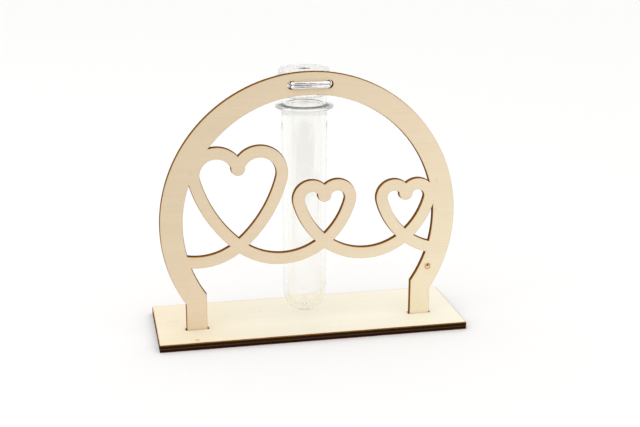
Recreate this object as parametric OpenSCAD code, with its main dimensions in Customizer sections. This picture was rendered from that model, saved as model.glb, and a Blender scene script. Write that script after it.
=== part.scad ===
// Bud vase: a clear tube with a screw cap stands behind a round plywood arch,
// held to it by two turns of bright wire. The arch is cut in one piece with its
// fretwork of hearts, and its two feet stand in slots through the base plate.
// +X is to the right, +Y to the back and +Z up, from the middle of the underside.

/* [Base plate] */
// How far the base plate reaches past the arch, on the left and on the right
base_margin = 3.5; // [1:0.5:15]
// Width of the base plate, front to back
base_w = 60; // [54:1:80]
// Thickness of the base plate
base_t = 4.4; // [3:0.1:6]
// Spare length at each end of the slot that takes a foot
slot_play = 0.4; // [0.1:0.1:2]

/* [Arch panel] */
// Thickness of the sheet that the arch is cut from
sheet_t = 3; // [2.5:0.25:5]
// Outer radius of the arch
arch_r = 84.4; // [80:0.2:86]
// Width of the arch's band
band_w = 12.9; // [11:0.1:15]
// Width of each foot
foot_w = 12; // [9:0.5:14]
// Height of the feet above the base plate, at their inner edge
leg_h = 20.5; // [18:0.5:28]
// Distance of the arch's middle plane ahead of the base plate's middle
arch_forward = 9.5; // [5:0.5:12]
// Clearance between a foot's faces and its slot
foot_gap = 0.1; // [0.05:0.05:0.3]
// Depth that a foot's end stays above the underside
foot_recess = 0.2; // [0.1:0.1:1]

/* [Fretwork] */
// Width of the line that draws the hearts
line_w = 7; // [5:0.25:8]
// Slope of the line where it crosses itself at a heart's tip, in degrees
tip_slope = 40; // [36:1:44]
// Slope of the line where a heart's side becomes its lobe, in degrees
shoulder_slope = 75; // [70:1:80]

/* [Wire loop] */
// Diameter of the wire
wire_d = 1.9; // [1.5:0.1:2]
// Clearance between the two strands of wire and the wall of their hole
hole_gap = 0.17; // [0.1:0.01:0.5]
// Distance between the middles of the two holes
hole_spread = 21; // [18:0.5:23]
// Space between one turn of the wire and the next
turn_gap = 0.06; // [0.04:0.02:0.12]
// Space between the wire and the face of the arch
wire_gap = 0.05; // [0.02:0.01:0.2]
// Space between the wire and the cap that it goes round
loop_gap = 0.35; // [0.3:0.05:0.8]
// Radius of the bend where the wire turns into a hole
bend_r = 1.6; // [1.4:0.1:2]
// Radius of the bend where the wire spreads behind the arch
spread_r = 3; // [2:0.5:4]

/* [Tube] */
// Length of the tube from its foot to its rim
tube_l = 142.5; // [125:0.5:160]
// Outer diameter of the neck
neck_d = 25; // [24:0.1:25.4]
// Thickness of the neck's wall
neck_wall = 1.65; // [1.4:0.05:2]
// Height of the neck from the ring to the rim
neck_h = 18.8; // [17:0.2:21]
// How far the support ring stands out past the neck
ring_out = 4; // [3:0.25:5]
// Thickness of the support ring
ring_t = 1.5; // [1.3:0.1:3]
// How far the body stands out past the neck, just below the ring
body_out = 0.4; // [0.1:0.1:1]
// How much the body's radius shrinks from the ring down to the dome
body_draft = 0.5; // [0.1:0.1:1]
// Thickness of the body's wall
body_wall = 2.9; // [1.5:0.1:3.5]
// Diameter of the moulding stub under the dome
stub_d = 3.2; // [2:0.1:5]
// Height of the moulding stub under the dome
stub_h = 0.8; // [0.4:0.1:1.5]

/* [Screw cap] */
// Height of the cap
cap_h = 12.6; // [11:0.2:15]
// Room for the thread between the neck and the cap's bore
thread_room = 1.1; // [0.9:0.05:1.4]
// Thickness of the cap's skirt at the roots of its ribs
cap_wall = 0.7; // [0.5:0.05:1.2]
// Thickness of the cap's top
cap_top_t = 1.6; // [1.2:0.1:2.2]
// Number of ribs round the cap
rib_n = 100; // [60:10:120]
// Depth of the ribs
rib_depth = 0.3; // [0.15:0.05:0.35]
// Height of the smooth rim above the ribs
rim_h = 1.2; // [0.9:0.1:2]
// Diameter of the dimple in the cap's top
dimple_d = 7.4; // [5:0.2:10]
// Depth of the dimple
dimple_depth = 0.6; // [0.3:0.1:0.9]
// Clearance between the cap and the back of the arch
cap_gap = 0.3; // [0.2:0.05:1]
// Clearance between the tube's rim and the cap
seal_gap = 0.05; // [0.02:0.01:0.1]

/* [Hidden] */
$fn = 96;

// How far a cutting shape runs past what it cuts
overrun = 1;

// The hearts from left to right: the tip's place and the lobe's radius, as shares
// of the arch's inner radius
heart_share = [[-0.565, 0.175], [0.115, 0.106], [0.775, 0.1]];
// Height of the hearts' tips above the arch's middle, as a share of the same radius
tip_share = -0.175;
// Radius of the two ends that run into the arch's band, as a share of the same radius
tail_share = 0.5;
// Slope at which the line would end in the band, in degrees
tail_slope = 40;
// Width of the drop in a heart's notch, as a share of the line's width
drop_share = 1.16;
// Largest angle between points on the line, in degrees, and the largest length, as a
// share of the line's width
line_angle = 6;
chord_share = 0.43;

// The support ring, the body and the cap follow the neck
neck_r = neck_d / 2;
ring_r = neck_r + ring_out;
body_top_r = neck_r + body_out;
dome_r = body_top_r - body_draft;
cap_bore_d = neck_d + 2 * thread_room;
cap_d = cap_bore_d + 2 * (cap_wall + rib_depth);

// Heights up the tube, and the places that follow from them
tube_z = base_t;
rim_z = tube_z + tube_l;
ring_top_z = rim_z - neck_h;
ring_low_z = ring_top_z - ring_t;
ring_mid_z = ring_top_z - ring_t / 2;
dome_z = tube_z + stub_h + dome_r;
cap_top_z = rim_z + seal_gap + cap_top_t;
cap_z = cap_top_z - cap_h;
arch_front_y = -arch_forward - sheet_t / 2;
arch_back_y = -arch_forward + sheet_t / 2;
tube_y = arch_back_y + cap_gap + max(cap_d / 2, body_top_r);

// The wire goes round the middle of the cap, and the arch's band follows the wire
hole_x = hole_spread / 2;
hole_d = 2 * (wire_d + hole_gap) + turn_gap;
wire_z = cap_z + cap_h / 2;
window_r = arch_r - band_w;
band_r = arch_r - band_w / 2;
arch_z = wire_z - sqrt(pow(band_r, 2) - pow(hole_x, 2));

// The feet come straight down from the arch's inner edge, and the plate spans the arch
foot_top_z = base_t + leg_h;
foot_x = foot_w / 2 + sqrt(pow(window_r, 2) - pow(arch_z - foot_top_z, 2));
base_l = 2 * (arch_r + base_margin);

// Rounding of the neck's foot, the support ring, the tube's rim and the cap's top
neck_fillet_r = 0.9;
ring_round = 0.6;
rim_round = 0.4;
cap_round = 0.8;
// Length of the cone that joins the neck's bore to the body's
bore_cone_h = 8;
// Diameter of the moulding stub in the dimple
nub_d = 1.4;
// Width of the step from the ribs' roots in to the cap's smooth rim
rim_step_w = 0.1;
// Half the width of a rib at its root and at its crest, as shares of the ribs' pitch
rib_half_share = [0.36, 0.16];

// The wire's sides, and the angle between its rings on a bend, in degrees
wire_sides = 12;
wire_angle = 9;
bend_angle = 15;
// Half the angle over which the wire climbs to its upper turn, in degrees
climb_angle = 14;
// Angle between the loop's back and each end of the wire, in degrees
end_angle = 19;
// Rings on the climb, beside its ends
climb_rings = 7;

// An arc of the fretwork's line is [centre, radius, from, to], with its angles about
// its centre. The line turns left all along, so each arc runs from the lower angle.

// The right half of a heart that stands on its tip: a long side and a lobe
function right_half(tip_x, lobe_r) =
    let (shoulder = sin(shoulder_slope),
        side_r = lobe_r * 2 * shoulder / (shoulder - sin(tip_slope)),
        side_centre = [tip_x, 0] + side_r * [-sin(tip_slope), cos(tip_slope)],
        lobe_centre = side_centre + (side_r - lobe_r) * [shoulder, -cos(shoulder_slope)])
    [[side_centre, side_r, tip_slope - 90, shoulder_slope - 90],
        [lobe_centre, lobe_r, shoulder_slope - 90, shoulder_slope + 90]];

// The left half of the same heart, from its notch down to its tip
function left_half(tip_x, lobe_r) = [for (arc = reversed(right_half(-tip_x, lobe_r)))
    [[-arc[0][0], arc[0][1]], arc[1], 180 - arc[3], 180 - arc[2]]];

// The swag that hangs between two tips on one level
function swag(left_x, right_x) =
    let (radius = (right_x - left_x) / 2 / sin(tip_slope))
    [[[(left_x + right_x) / 2, radius * cos(tip_slope)], radius, -tip_slope - 90, tip_slope - 90]];

// The ends that run from the first and the last tip into the arch's band
tail_r = tail_share * window_r;
tail_offset = tail_r * [sin(tip_slope), cos(tip_slope)];
function left_tail(tip_x) =
    [[[tip_x - tail_offset[0], tail_offset[1]], tail_r, -tail_slope - 90, tip_slope - 90]];
function right_tail(tip_x) =
    [[[tip_x + tail_offset[0], tail_offset[1]], tail_r, -tip_slope - 90, tail_slope - 90]];

function reversed(list) = [for (i = [len(list) - 1 : -1 : 0]) list[i]];

// Points along one edge of the line, which lies beside its middle
function arc_count(arc) =
    let (angle = arc[3] - arc[2])
    ceil(max(angle / line_angle, arc[1] * angle * PI / 180 / (chord_share * line_w)));
function arc_point(arc, beside, part) =
    let (a = arc[2] + (arc[3] - arc[2]) * part)
    arc[0] + (arc[1] + beside) * [cos(a), sin(a)];
function line_edge(arcs, beside) = concat(
    [for (arc = arcs, i = [0 : arc_count(arc) - 1]) arc_point(arc, beside, i / arc_count(arc))],
    [arc_point(arcs[len(arcs) - 1], beside, 1)]);

// One stroke of the line, from end to end of its arcs
module stroke(arcs) {
    polygon(concat(line_edge(arcs, line_w / 2), reversed(line_edge(arcs, -line_w / 2))));
}

// The drop that closes a heart's notch, a little wider than the line
module notch_drop(tip_x, lobe_r) {
    lobe = right_half(tip_x, lobe_r)[1];
    translate([tip_x, lobe[0][1] + lobe_r * cos(shoulder_slope)]) circle(d = line_w * drop_share);
}

// The whole line: each stroke runs from one heart's notch to the next one's
module fretwork() {
    tips = [for (share = heart_share) share[0] * window_r];
    lobes = [for (share = heart_share) share[1] * window_r];
    last = len(heart_share) - 1;
    intersection() {
        circle(r = band_r);
        translate([0, tip_share * window_r]) {
            stroke(concat(left_tail(tips[0]), right_half(tips[0], lobes[0])));
            for (i = [1 : last]) stroke(concat(left_half(tips[i - 1], lobes[i - 1]),
                swag(tips[i - 1], tips[i]), right_half(tips[i], lobes[i])));
            stroke(concat(left_half(tips[last], lobes[last]), right_tail(tips[last])));
            for (i = [0 : last]) notch_drop(tips[i], lobes[i]);
        }
    }
}

// The arch's band, open at the bottom between its feet
module band() {
    difference() {
        circle(r = arch_r);
        circle(r = window_r);
        translate([foot_w / 2 - foot_x, -arch_r - overrun])
            square([2 * foot_x - foot_w, arch_r + overrun]);
    }
}

// The outline of the whole panel, with the two holes for the wire. The sheet ends at
// the lower edge of the feet.
module arch_outline() {
    difference() {
        union() {
            translate([0, arch_z]) {
                band();
                fretwork();
            }
            for (side = [-1, 1]) translate([side * foot_x - foot_w / 2, foot_recess])
                square([foot_w, foot_top_z - foot_recess]);
        }
        for (side = [-1, 1]) translate([side * hole_x, wire_z]) circle(d = hole_d);
        translate([-arch_r - overrun, foot_recess - arch_r])
            square([2 * (arch_r + overrun), arch_r]);
    }
}

// The feet's slots through the base plate
module foot_slot() {
    slot_l = foot_w + 2 * slot_play;
    slot_w = sheet_t + 2 * foot_gap;
    translate([-slot_l / 2, -slot_w / 2, -overrun]) cube([slot_l, slot_w, base_t + 2 * overrun]);
}

// Flat plywood plate that everything stands on
module base_plate() {
    color("#f3e4c4") difference() {
        translate([-base_l / 2, -base_w / 2, 0]) cube([base_l, base_w, base_t]);
        for (side = [-1, 1]) translate([side * foot_x, -arch_forward, 0]) foot_slot();
    }
}

// Plywood arch, cut in one piece with its feet and fretwork
module arch_panel() {
    color("#e6d0ac") translate([0, arch_back_y, 0]) rotate([90, 0, 0])
        linear_extrude(sheet_t) arch_outline();
}

// Points along a bend, from one angle to another
function bend(centre, radius, from, to, step) =
    let (count = ceil(abs(to - from) / step))
    [for (i = [0 : count]) let (a = from + (to - from) * i / count)
        centre + radius * [cos(a), sin(a)]];

loop_r = cap_d / 2 + loop_gap + wire_d / 2;
front_y = arch_front_y - wire_gap - wire_d / 2;
// Where the wire leaves the round of the cap for its hole
spread_y = tube_y - sqrt(pow(loop_r + spread_r, 2) - pow(hole_x + spread_r, 2));
spread_angle = asin((tube_y - spread_y) / (loop_r + spread_r));

// The right half of one turn, seen from above, from the back to the front of the arch
function half_turn(from) = concat(
    bend([0, tube_y], loop_r, from, -spread_angle, wire_angle),
    bend([hole_x + spread_r, spread_y], spread_r, 180 - spread_angle, 180, bend_angle),
    bend([hole_x - bend_r, front_y + bend_r], bend_r, 0, -90, bend_angle));

function flipped(points) = [for (p = reversed(points)) [-p[0], p[1]]];
function at_height(points, z) = [for (p = points) [p[0], p[1], z]];

// The wire's middle line: a lower turn, the climb at the back, and an upper turn
turn_rise = wire_d + turn_gap;
function climb() = [for (i = [1 : climb_rings]) let (
    part = i / (climb_rings + 1),
    a = 90 + climb_angle * (1 - 2 * part))
    [loop_r * cos(a), tube_y + loop_r * sin(a), wire_z - turn_rise / 2 * cos(180 * part)]];
wire_line = concat(
    at_height(half_turn(90 - end_angle), wire_z - turn_rise / 2),
    at_height(flipped(half_turn(90 - climb_angle)), wire_z - turn_rise / 2),
    climb(),
    at_height(half_turn(90 - climb_angle), wire_z + turn_rise / 2),
    at_height(flipped(half_turn(90 - end_angle)), wire_z + turn_rise / 2));

function unit(v) = v / norm(v);

// A ring of points square to the wire at one point of its middle line
function wire_ring(line, i) =
    let (last = len(line) - 1,
        along = unit(line[min(i + 1, last)] - line[max(i - 1, 0)]),
        across = unit(cross(along, [0, 0, 1])),
        up = cross(across, along))
    [for (k = [0 : wire_sides - 1]) let (a = 360 * k / wire_sides)
        line[i] + wire_d / 2 * (cos(a) * across + sin(a) * up)];

// Two turns of bright wire, through the holes and round the cap
module wire_loop() {
    count = len(wire_line);
    n = wire_sides;
    sides = [for (i = [0 : count - 2], k = [0 : n - 1]) let (j = (k + 1) % n)
        [i * n + k, i * n + j, (i + 1) * n + j, (i + 1) * n + k]];
    color("#d9dadb") polyhedron(
        points = [for (i = [0 : count - 1]) each wire_ring(wire_line, i)],
        faces = concat([[for (k = [n - 1 : -1 : 0]) k]],
            [for (f = sides) each [[f[0], f[1], f[2]], [f[0], f[2], f[3]]]],
            [[for (k = [0 : n - 1]) (count - 1) * n + k]]));
}

// Half of a ball's section
module ball_section(radius) {
    intersection() {
        circle(r = radius);
        translate([0, -radius]) square([radius, 2 * radius]);
    }
}

// Half of a round column's section, with its upper edge rounded
module column_section(radius, height, rounding) {
    square([radius - rounding, height]);
    square([radius, height - rounding]);
    translate([radius - rounding, height - rounding]) circle(r = rounding);
}

// Half of the support ring's section, with both its edges rounded
module ring_section() {
    square([ring_r - ring_round, ring_t]);
    translate([0, ring_round]) square([ring_r, ring_t - 2 * ring_round]);
    for (z = [ring_round, ring_t - ring_round])
        translate([ring_r - ring_round, z]) circle(r = ring_round);
}

// Half of the section of the fillet at the neck's foot, which starts inside the ring
module fillet_section() {
    difference() {
        translate([0, -ring_t / 2]) square([neck_r + neck_fillet_r, ring_t / 2 + neck_fillet_r]);
        translate([neck_r + neck_fillet_r, neck_fillet_r]) circle(r = neck_fillet_r);
    }
}

// Half of the tube's section, solid. The body and the neck both end inside the ring.
module tube_outside() {
    translate([0, tube_z]) square([stub_d / 2, dome_r]);
    translate([0, dome_z]) ball_section(dome_r);
    polygon([[0, dome_z], [dome_r, dome_z], [body_top_r, ring_low_z],
        [body_top_r, ring_mid_z], [0, ring_mid_z]]);
    translate([0, ring_low_z]) ring_section();
    translate([0, ring_top_z]) fillet_section();
    translate([0, ring_mid_z]) column_section(neck_r, rim_z - ring_mid_z, rim_round);
}

// Half of the section of the tube's bore
module tube_bore() {
    low_r = dome_r - body_wall;
    top_r = body_top_r - body_wall;
    mouth_r = neck_r - neck_wall;
    cone_z = ring_low_z - bore_cone_h;
    translate([0, dome_z]) ball_section(low_r);
    polygon([[0, dome_z], [low_r, dome_z], [top_r, cone_z], [mouth_r, ring_low_z],
        [mouth_r, rim_z + overrun], [0, rim_z + overrun]]);
}

// Clear moulded tube with a round end, a support ring and a neck
module vase_tube() {
    color("#e8eeee", 0.45) translate([0, tube_y, 0]) rotate_extrude() difference() {
        tube_outside();
        tube_bore();
    }
}

// Outline of the ribbed skirt, one rib after another
module rib_outline() {
    crest = cap_d / 2;
    root = crest - rib_depth;
    pitch = 360 / rib_n;
    corners = [[-rib_half_share[0], root], [-rib_half_share[1], crest],
        [rib_half_share[1], crest], [rib_half_share[0], root]];
    polygon([for (i = [0 : rib_n - 1]) each
        [for (c = corners) c[1] * [cos((i + c[0]) * pitch), sin((i + c[0]) * pitch)]]]);
}

// The smooth top of the cap, solid, which reaches as far into the skirt as above it
module cap_top() {
    translate([0, 0, cap_h - 2 * rim_h]) rotate_extrude()
        column_section(cap_d / 2 - rib_depth - rim_step_w, 2 * rim_h, cap_round);
}

// Clear screw cap with a ribbed skirt and a dimple in its top
module screw_cap() {
    dimple_z = cap_h - dimple_depth;
    floor_t = cap_top_t - dimple_depth;
    color("#eef1f1", 0.5) translate([0, tube_y, cap_z]) {
        difference() {
            union() {
                linear_extrude(cap_h - rim_h) rib_outline();
                cap_top();
            }
            translate([0, 0, -overrun])
                cylinder(h = cap_h - cap_top_t + overrun, d = cap_bore_d);
            translate([0, 0, dimple_z]) cylinder(h = dimple_depth + overrun, d = dimple_d);
        }
        translate([0, 0, dimple_z - floor_t / 2])
            cylinder(h = floor_t / 2 + dimple_depth, d = nub_d);
    }
}

base_plate();
arch_panel();
wire_loop();
vase_tube();
screw_cap();
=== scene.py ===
from math import asin, ceil, cos, degrees, pi, radians, sin, sqrt

import bmesh
import bpy
from mathutils import Matrix, Vector


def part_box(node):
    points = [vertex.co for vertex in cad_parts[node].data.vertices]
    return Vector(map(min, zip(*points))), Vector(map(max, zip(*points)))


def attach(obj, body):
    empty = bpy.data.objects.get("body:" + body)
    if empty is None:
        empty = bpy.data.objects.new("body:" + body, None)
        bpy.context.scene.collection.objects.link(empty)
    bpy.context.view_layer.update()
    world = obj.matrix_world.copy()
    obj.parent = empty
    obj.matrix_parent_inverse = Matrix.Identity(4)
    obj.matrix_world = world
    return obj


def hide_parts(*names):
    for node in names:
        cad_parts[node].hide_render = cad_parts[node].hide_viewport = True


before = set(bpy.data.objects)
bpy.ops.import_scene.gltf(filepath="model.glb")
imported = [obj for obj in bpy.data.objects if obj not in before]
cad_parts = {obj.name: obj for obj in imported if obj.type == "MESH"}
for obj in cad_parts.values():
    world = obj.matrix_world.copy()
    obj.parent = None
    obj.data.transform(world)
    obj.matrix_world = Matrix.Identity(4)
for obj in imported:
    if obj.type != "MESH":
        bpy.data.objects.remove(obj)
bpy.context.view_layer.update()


# Base plate
# A flat plate of 4.4 mm birch plywood, sanded and left bare. It is cut by laser, so its
# walls and the walls of its two slots are charred dark brown, with a paler line at the
# middle ply, and a golden rim runs along each edge of its faces.
MM = 0.001
WELD = 0.001 * MM
Y, Z = 1, 2
FACE, WALL = 0, 1
FACING = 0.5
SHARP_ANGLE = radians(25)
EDGE_BREAK = 0.12 * MM
SQUARE_STRIP = 3 * EDGE_BREAK


def placed(name, data):
    """A new object in the scene, with this mesh, lamp or camera as its data."""
    piece = bpy.data.objects.new(name, data)
    bpy.context.scene.collection.objects.link(piece)
    return piece


def cut_sheet(name, node, across, rim_width, rim_share, lean, materials):
    """A sheet cut from a flat node: its edges are broken, and each face has a scorched rim.

    across is the axis through the sheet. The attribute rim is 1 on the walls, rim_share where
    the broken edge meets the face, and 0 from rim_width inwards. The beam cuts widest where it
    enters, so the first face is smaller all round by lean, and the walls lean out from it to
    a square strip beside the second face.
    """
    mesh = bmesh.new()
    mesh.from_mesh(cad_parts[node].data)
    bmesh.ops.remove_doubles(mesh, verts=mesh.verts, dist=WELD)
    rim = mesh.verts.layers.float.new("rim")
    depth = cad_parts[node].dimensions[across]

    def inset(faces, width):
        """Draws the faces in by width, and gives the strip of faces that is left round them."""
        strip = bmesh.ops.inset_region(mesh, faces=faces, thickness=width, use_even_offset=True)["faces"]
        mesh.normal_update()
        return strip

    def is_wall(f):
        return abs(f.normal[across]) < FACING

    def points(faces):
        return {v for f in faces for v in f.verts}

    def wall_points():
        return points(f for f in mesh.faces if is_wall(f))

    for side in (-1, 1):
        face = [f for f in mesh.faces if f.normal[across] * side > FACING]
        if side < 0 < lean:
            for v in points(inset(face, lean)) & wall_points():
                v.co[across] += depth - SQUARE_STRIP
            mesh.normal_update()
        broken = inset(face, EDGE_BREAK)
        inset(face, rim_width)
        for v in points(broken):
            v[rim] = rim_share
        for v in points(broken) & wall_points():
            v.co[across] -= side * EDGE_BREAK
            v[rim] = 1
    mesh.normal_update()
    for f in mesh.faces:
        f.material_index = WALL if is_wall(f) else FACE
        f.smooth = True
    data = bpy.data.meshes.new(name)
    mesh.to_mesh(data)
    mesh.free()
    if "custom_normal" in data.attributes:
        data.attributes.remove(data.attributes["custom_normal"])
    data.set_sharp_from_angle(angle=SHARP_ANGLE)
    for material in materials:
        data.materials.append(material)
    return placed(name, data)


def colour(hex_value):
    """An sRGB hex value as a linear colour."""
    shares = [int(hex_value[i:i + 2], 16) / 255 for i in (1, 3, 5)]
    return [s / 12.92 if s <= 0.04045 else ((s + 0.055) / 1.055) ** 2.4 for s in shares] + [1]


def grey(share):
    """A linear grey, as a share of white."""
    return (share, share, share, 1)


def add(tree, kind, settings=None, links=None):
    """Adds a node. A setting is one of its properties or sockets, or a colour ramp's stops
    (place, colour), and a link feeds a socket."""
    node = tree.nodes.new(kind)
    for key, value in (settings or {}).items():
        if key == "stops":
            while len(node.color_ramp.elements) < len(value):
                node.color_ramp.elements.new(1)
            for element, (place, shade) in zip(node.color_ramp.elements, value):
                element.position = place
                element.color = shade
        elif isinstance(key, int) or key in node.inputs:
            node.inputs[key].default_value = value
        else:
            setattr(node, key, value)
    for key, source in (links or {}).items():
        tree.links.new(source, node.inputs[key])
    return node


def new_material(name):
    """An empty material, with its node tree."""
    material = bpy.data.materials.new(name)
    material.use_nodes = True
    material.node_tree.nodes.clear()
    return material, material.node_tree


def in_millimetres(tree, turn=(0, 0, 0)):
    """A piece's own coordinates in millimetres, turned to suit the pattern."""
    place = add(tree, "ShaderNodeTexCoord").outputs["Object"]
    return add(tree, "ShaderNodeMapping", {"Rotation": turn, "Scale": (1 / MM,) * 3},
               {"Vector": place}).outputs[0]


def bare_veneer(tree, millimetres, tones, start, end):
    """Sanded veneer without knots: its colour, and its streaks and pores for the relief."""
    # Grain lines about 0.7 mm wide and 40 mm long, which the eye sees as faint streaks
    streak_place = add(tree, "ShaderNodeMapping", {"Scale": (0.025, 1.4, 1.4)},
                       {"Vector": millimetres}).outputs[0]
    streaks = add(tree, "ShaderNodeTexNoise",
                  {"Scale": 1, "Detail": 3, "Roughness": 0.6, "Distortion": 0.3},
                  {"Vector": streak_place}).outputs[0]
    streak_tone = add(tree, "ShaderNodeValToRGB",
                      {"stops": [(0.3, (0.9, 0.88, 0.84, 1)), (0.55, grey(1))]}, {0: streaks}).outputs[0]
    # Pores, 3 mm long and a third of a millimetre wide, which show as fine brown dashes
    pore_place = add(tree, "ShaderNodeMapping", {"Scale": (0.35, 3.0, 3.0)},
                     {"Vector": millimetres}).outputs[0]
    pores = add(tree, "ShaderNodeTexNoise", {"Scale": 1, "Detail": 2, "Roughness": 0.5},
                {"Vector": pore_place}).outputs[0]
    pore_lines = add(tree, "ShaderNodeValToRGB", {"stops": [(0.5, grey(0)), (0.72, grey(1))]},
                     {0: pores}).outputs[0]
    pore_share = add(tree, "ShaderNodeMath", {"operation": "MULTIPLY", 1: 0.08},
                     {0: pore_lines}).outputs[0]
    # Broad bands from the log's growth rings, 20 mm and more across, over a slow change of
    # tone from start to end. That change is partly the veneer's own, which isn't the same along
    # the log, and partly painted light: the sheet is paler towards where more light falls on it
    band_place = add(tree, "ShaderNodeMapping", {"Scale": (0.008, 0.05, 0.05)},
                     {"Vector": millimetres}).outputs[0]
    bands = add(tree, "ShaderNodeTexNoise",
                {"Scale": 1, "Detail": 2, "Roughness": 0.5, "Distortion": 0.8},
                {"Vector": band_place}).outputs[0]
    way = Vector(end) - Vector(start)
    from_start = add(tree, "ShaderNodeVectorMath", {"operation": "SUBTRACT", 1: (*start, 0)},
                     {0: millimetres}).outputs[0]
    share = add(tree, "ShaderNodeVectorMath",
                {"operation": "DOT_PRODUCT", 1: (*(way / way.length_squared), 0)},
                {0: from_start}).outputs["Value"]
    drift = add(tree, "ShaderNodeMath", {"operation": "MULTIPLY_ADD", 1: 0.3},
                {0: bands, 2: share}).outputs[0]
    reach = add(tree, "ShaderNodeMapRange", {"From Min": 0.15, "From Max": 1.15},
                {"Value": drift}).outputs[0]
    first, middle, last = tones
    tone_and_painted_light = add(tree, "ShaderNodeValToRGB",
                     {"stops": [(0, colour(first)), (0.5, colour(middle)), (1, colour(last))]},
                     {0: reach}).outputs[0]
    grained = add(tree, "ShaderNodeMix", {"data_type": "RGBA", "blend_type": "MULTIPLY", 0: 0.35},
                  {6: tone_and_painted_light, 7: streak_tone}).outputs[2]
    pored = add(tree, "ShaderNodeMix",
                {"data_type": "RGBA", "blend_type": "MULTIPLY", 7: colour("#b08a5c")},
                {0: pore_share, 6: grained}).outputs[2]
    return pored, streaks, pores


def with_knot(tree, millimetres, shade, x, y, radius, strength):
    """The veneer's colour with a small round knot, which shows as a brown eye, a little off
    the middle of a golden ring that fades into the wood."""
    # Its outline wanders every 2 mm
    wander = add(tree, "ShaderNodeTexNoise", {"Scale": 0.5, "Detail": 2},
                 {"Vector": millimetres}).outputs["Color"]
    wandered = add(tree, "ShaderNodeMix",
                   {"data_type": "RGBA", "blend_type": "LINEAR_LIGHT", 0: radius * 0.25},
                   {6: millimetres, 7: wander}).outputs[2]
    offset = add(tree, "ShaderNodeVectorMath", {"operation": "SUBTRACT", 1: (x, y, 0)},
                 {0: wandered}).outputs[0]
    flat = add(tree, "ShaderNodeVectorMath", {"operation": "MULTIPLY", 1: (1, 0.92, 0)},
               {0: offset}).outputs[0]
    distance = add(tree, "ShaderNodeVectorMath", {"operation": "LENGTH"}, {0: flat}).outputs[1]
    reach = add(tree, "ShaderNodeMath", {"operation": "DIVIDE", 1: radius * 2},
                {0: distance}).outputs[0]
    ring = add(tree, "ShaderNodeValToRGB",
               {"stops": [(0, grey(0.35)), (0.34, grey(0.35)), (0.45, grey(0.85)),
                          (0.54, grey(0.85)), (0.68, grey(0.2)), (1, grey(0))]},
               {0: reach}).outputs[0]
    from_eye = add(tree, "ShaderNodeVectorMath", {"operation": "SUBTRACT", 1: (0, radius * 0.5, 0)},
                   {0: flat}).outputs[0]
    off_eye = add(tree, "ShaderNodeVectorMath", {"operation": "LENGTH"}, {0: from_eye}).outputs[1]
    near = add(tree, "ShaderNodeMath", {"operation": "DIVIDE", 1: radius}, {0: off_eye}).outputs[0]
    eye = add(tree, "ShaderNodeValToRGB", {"stops": [(0, grey(1)), (0.5, grey(1)), (0.8, grey(0))]},
              {0: near}).outputs[0]
    depth = add(tree, "ShaderNodeMath", {"operation": "MAXIMUM"}, {0: ring, 1: eye}).outputs[0]
    share = add(tree, "ShaderNodeMath", {"operation": "MULTIPLY", 1: strength}, {0: depth}).outputs[0]
    knot_tone = add(tree, "ShaderNodeValToRGB",
                    {"stops": [(0.2, colour("#e2b464")), (0.7, colour("#bc8a2c")), (1, colour("#8e5608"))]},
                    {0: depth}).outputs[0]
    return add(tree, "ShaderNodeMix", {"data_type": "RGBA"},
               {0: share, 6: shade, 7: knot_tone}).outputs[2]


def with_scorch(tree, millimetres, shade):
    """The veneer's colour with the golden rim that the laser's heat leaves, whose width
    changes every 8 mm or so."""
    rim = add(tree, "ShaderNodeAttribute", {"attribute_name": "rim"}).outputs["Fac"]
    smoke = add(tree, "ShaderNodeTexNoise", {"Scale": 0.12, "Detail": 2},
                {"Vector": millimetres}).outputs[0]
    smoke_share = add(tree, "ShaderNodeMapRange",
                      {"From Min": 0.3, "From Max": 0.7, "To Min": 0.7, "To Max": 1.4},
                      {"Value": smoke}).outputs[0]
    scorch = add(tree, "ShaderNodeMath", {"operation": "MULTIPLY", "use_clamp": True},
                 {0: rim, 1: smoke_share}).outputs[0]
    scorch_tone = add(tree, "ShaderNodeValToRGB",
                      {"stops": [(0.2, colour("#d9a85c")), (0.75, colour("#a46a24")),
                                 (1, colour("#5a3412"))]}, {0: rim}).outputs[0]
    return add(tree, "ShaderNodeMix", {"data_type": "RGBA"},
               {0: scorch, 6: shade, 7: scorch_tone}).outputs[2]


def sanded_birch(name, turn, tones, start, end, knots):
    """Birch veneer, sanded: pale and dull, with a fine long grain and a few small knots.

    turn brings the sheet's face into the pattern's XY plane, with the grain along X. tones
    are its three colours from start to end, partly the veneer's own and partly painted light.
    A knot is (x, y, radius, strength). All places are in mm.
    """
    material, tree = new_material(name)
    millimetres = in_millimetres(tree, turn)
    shade, streaks, pores = bare_veneer(tree, millimetres, tones, start, end)
    for knot in knots:
        shade = with_knot(tree, millimetres, shade, *knot)
    burnt = with_scorch(tree, millimetres, shade)
    roughness = add(tree, "ShaderNodeMapRange", {"To Min": 0.5, "To Max": 0.68},
                    {"Value": pores}).outputs[0]
    relief = add(tree, "ShaderNodeMath", {"operation": "MULTIPLY_ADD", 1: 0.6},
                 {0: streaks, 2: pores}).outputs[0]
    bump = add(tree, "ShaderNodeBump", {"Strength": 0.25, "Distance": 0.03 * MM},
               {"Height": relief}).outputs[0]
    surface = add(tree, "ShaderNodeBsdfPrincipled", {"Specular IOR Level": 0.3},
                  {"Base Color": burnt, "Roughness": roughness, "Normal": bump}).outputs[0]
    add(tree, "ShaderNodeOutputMaterial", links={"Surface": surface})
    return material


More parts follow.
